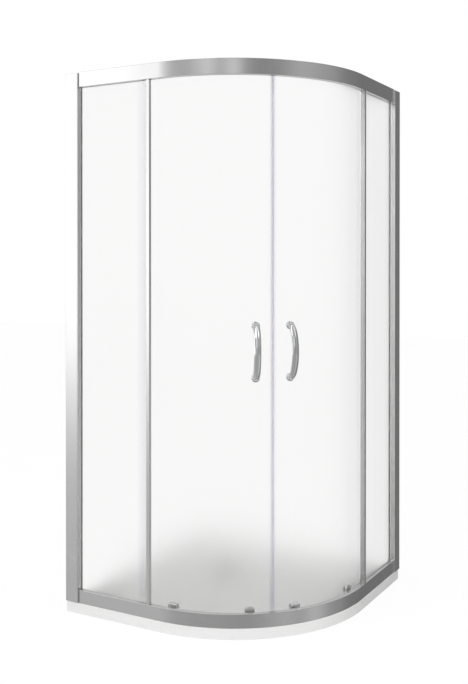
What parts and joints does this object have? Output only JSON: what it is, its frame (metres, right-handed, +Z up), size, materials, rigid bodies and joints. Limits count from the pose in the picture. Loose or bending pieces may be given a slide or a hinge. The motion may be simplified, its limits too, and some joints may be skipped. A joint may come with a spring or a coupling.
{
  "type": "shower enclosure",
  "caption": "Quadrant corner shower enclosure: flat fixed frosted panes, curved frosted sliding doors that meet in the middle, bow handles, silver frame and a low white tray.",
  "frame": {"origin": "on the floor, under the middle of the enclosure's bounding box", "axes": "+Z up; the room's corner is at -X +Y, the left wall is the plane of least X, the right wall the plane of greatest Y, and the doors face +X -Y"},
  "size_m": [0.905, 0.905, 1.887],
  "materials": {
    "alloy": "satin anodised, silver",
    "chrome": "bright plated",
    "frosted_glass": "frosted, tempered safety glass",
    "clear_seal": "translucent extruded seal",
    "acrylic": "glossy white",
    "nylon": "smooth white",
    "steel": "stainless",
    "rubber": "matt"
  },
  "bodies": {
    "frame": {"shower_tray": "acrylic", "waste_flange": "chrome", "waste_seal": "rubber", "wall_profile_left": "alloy", "wall_profile_right": "alloy", "adjusting_profile_left": "alloy", "adjusting_profile_right": "alloy", "locking_screws": "steel", "screw_caps": "chrome", "top_rail": "alloy", "bottom_rail": "alloy", "rail_screws": "steel", "infill_strips": "alloy", "fixed_glass_left": "frosted_glass", "fixed_glass_right": "frosted_glass", "glass_post_left": "alloy", "glass_post_right": "alloy", "glazing_gaskets": "clear_seal", "door_stops": "rubber"},
    "door_left": {"door_glass_left": "frosted_glass", "handle_left": "chrome", "handle_washers_left": "clear_seal", "handle_screws_left": "chrome", "meeting_seal_left": "clear_seal", "trailing_seal_left": "clear_seal", "top_hangers_left": "steel", "hanger_screws_left": "steel", "top_axles_left": "steel", "lower_housings_left": "chrome", "clamp_plates_left": "steel", "housing_bolts_left": "steel", "release_spring_left_trailing": "steel", "release_spring_left_leading": "steel"},
    "door_right": {"door_glass_right": "frosted_glass", "handle_right": "chrome", "handle_washers_right": "clear_seal", "handle_screws_right": "chrome", "meeting_seal_right": "clear_seal", "trailing_seal_right": "clear_seal", "top_hangers_right": "steel", "hanger_screws_right": "steel", "top_axles_right": "steel", "lower_housings_right": "chrome", "clamp_plates_right": "steel", "housing_bolts_right": "steel", "release_spring_right_trailing": "steel", "release_spring_right_leading": "steel"},
    "top_wheel_left_trailing": {"top_wheel_left_trailing": "nylon"},
    "release_carriage_left_trailing": {"release_carriage_left_trailing": "chrome"},
    "lower_wheel_left_trailing": {"lower_wheel_left_trailing": "nylon"},
    "top_wheel_left_leading": {"top_wheel_left_leading": "nylon"},
    "release_carriage_left_leading": {"release_carriage_left_leading": "chrome"},
    "lower_wheel_left_leading": {"lower_wheel_left_leading": "nylon"},
    "top_wheel_right_trailing": {"top_wheel_right_trailing": "nylon"},
    "release_carriage_right_trailing": {"release_carriage_right_trailing": "chrome"},
    "lower_wheel_right_trailing": {"lower_wheel_right_trailing": "nylon"},
    "top_wheel_right_leading": {"top_wheel_right_leading": "nylon"},
    "release_carriage_right_leading": {"release_carriage_right_leading": "chrome"},
    "lower_wheel_right_leading": {"lower_wheel_right_leading": "nylon"},
    "waste_cover": {"waste_cover": "chrome"}
  },
  "joints": [
    {"name": "door_left_slide", "type": "hinge", "parent": "frame", "child": "door_left", "pos_m": [-0.1415, 0.2921, 1], "axis": [0, 0, -1], "range_deg": [0, 19.6]},
    {"name": "door_right_slide", "type": "hinge", "parent": "frame", "child": "door_right", "pos_m": [-0.2921, 0.1415, 1], "axis": [0, 0, 1], "range_deg": [0, 19.6]},
    {"name": "top_wheel_left_trailing_spin", "type": "hinge", "parent": "door_left", "child": "top_wheel_left_trailing", "pos_m": [-0.03548, -0.39038, 1.8698], "axis": [0.0698, -0.9976, 0], "continuous": true},
    {"name": "release_left_trailing", "type": "slide", "parent": "door_left", "child": "release_carriage_left_trailing", "axis": [0, 0, 1], "range_m": [0, 0.012], "stiffness_N_per_m": 250, "springref_m": -0.016, "deforming": ["release_spring_left_trailing"]},
    {"name": "lower_wheel_left_trailing_spin", "type": "hinge", "parent": "release_carriage_left_trailing", "child": "lower_wheel_left_trailing", "pos_m": [-0.03548, -0.39038, 0.0498], "axis": [0.0698, -0.9976, 0], "continuous": true},
    {"name": "top_wheel_left_leading_spin", "type": "hinge", "parent": "door_left", "child": "top_wheel_left_leading", "pos_m": [0.19904, -0.30618, 1.8698], "axis": [0.5807, -0.8141, 0], "continuous": true},
    {"name": "release_left_leading", "type": "slide", "parent": "door_left", "child": "release_carriage_left_leading", "axis": [0, 0, 1], "range_m": [0, 0.012], "stiffness_N_per_m": 250, "springref_m": -0.016, "deforming": ["release_spring_left_leading"]},
    {"name": "lower_wheel_left_leading_spin", "type": "hinge", "parent": "release_carriage_left_leading", "child": "lower_wheel_left_leading", "pos_m": [0.19904, -0.30618, 0.0498], "axis": [0.5807, -0.8141, 0], "continuous": true},
    {"name": "top_wheel_right_trailing_spin", "type": "hinge", "parent": "door_right", "child": "top_wheel_right_trailing", "pos_m": [0.39038, 0.03548, 1.8698], "axis": [-0.9976, 0.0698, 0], "continuous": true},
    {"name": "release_right_trailing", "type": "slide", "parent": "door_right", "child": "release_carriage_right_trailing", "axis": [0, 0, 1], "range_m": [0, 0.012], "stiffness_N_per_m": 250, "springref_m": -0.016, "deforming": ["release_spring_right_trailing"]},
    {"name": "lower_wheel_right_trailing_spin", "type": "hinge", "parent": "release_carriage_right_trailing", "child": "lower_wheel_right_trailing", "pos_m": [0.39038, 0.03548, 0.0498], "axis": [-0.9976, 0.0698, 0], "continuous": true},
    {"name": "top_wheel_right_leading_spin", "type": "hinge", "parent": "door_right", "child": "top_wheel_right_leading", "pos_m": [0.30618, -0.19904, 1.8698], "axis": [-0.8141, 0.5807, 0], "continuous": true},
    {"name": "release_right_leading", "type": "slide", "parent": "door_right", "child": "release_carriage_right_leading", "axis": [0, 0, 1], "range_m": [0, 0.012], "stiffness_N_per_m": 250, "springref_m": -0.016, "deforming": ["release_spring_right_leading"]},
    {"name": "lower_wheel_right_leading_spin", "type": "hinge", "parent": "release_carriage_right_leading", "child": "lower_wheel_right_leading", "pos_m": [0.30618, -0.19904, 0.0498], "axis": [-0.8141, 0.5807, 0], "continuous": true},
    {"name": "waste_cover_lift", "type": "slide", "parent": "frame", "child": "waste_cover", "axis": [0, 0, 1], "range_m": [0, 0.04]}
  ],
  "couplings": [
    {"joint": "top_wheel_left_trailing_spin", "follows": "door_left_slide", "ratio": 69.067},
    {"joint": "lower_wheel_left_trailing_spin", "follows": "door_left_slide", "ratio": 69.067},
    {"joint": "top_wheel_left_leading_spin", "follows": "door_left_slide", "ratio": 68.841},
    {"joint": "lower_wheel_left_leading_spin", "follows": "door_left_slide", "ratio": 68.841},
    {"joint": "top_wheel_right_trailing_spin", "follows": "door_right_slide", "ratio": 69.067},
    {"joint": "lower_wheel_right_trailing_spin", "follows": "door_right_slide", "ratio": 69.067},
    {"joint": "top_wheel_right_leading_spin", "follows": "door_right_slide", "ratio": 68.841},
    {"joint": "lower_wheel_right_leading_spin", "follows": "door_right_slide", "ratio": 68.841}
  ]
}
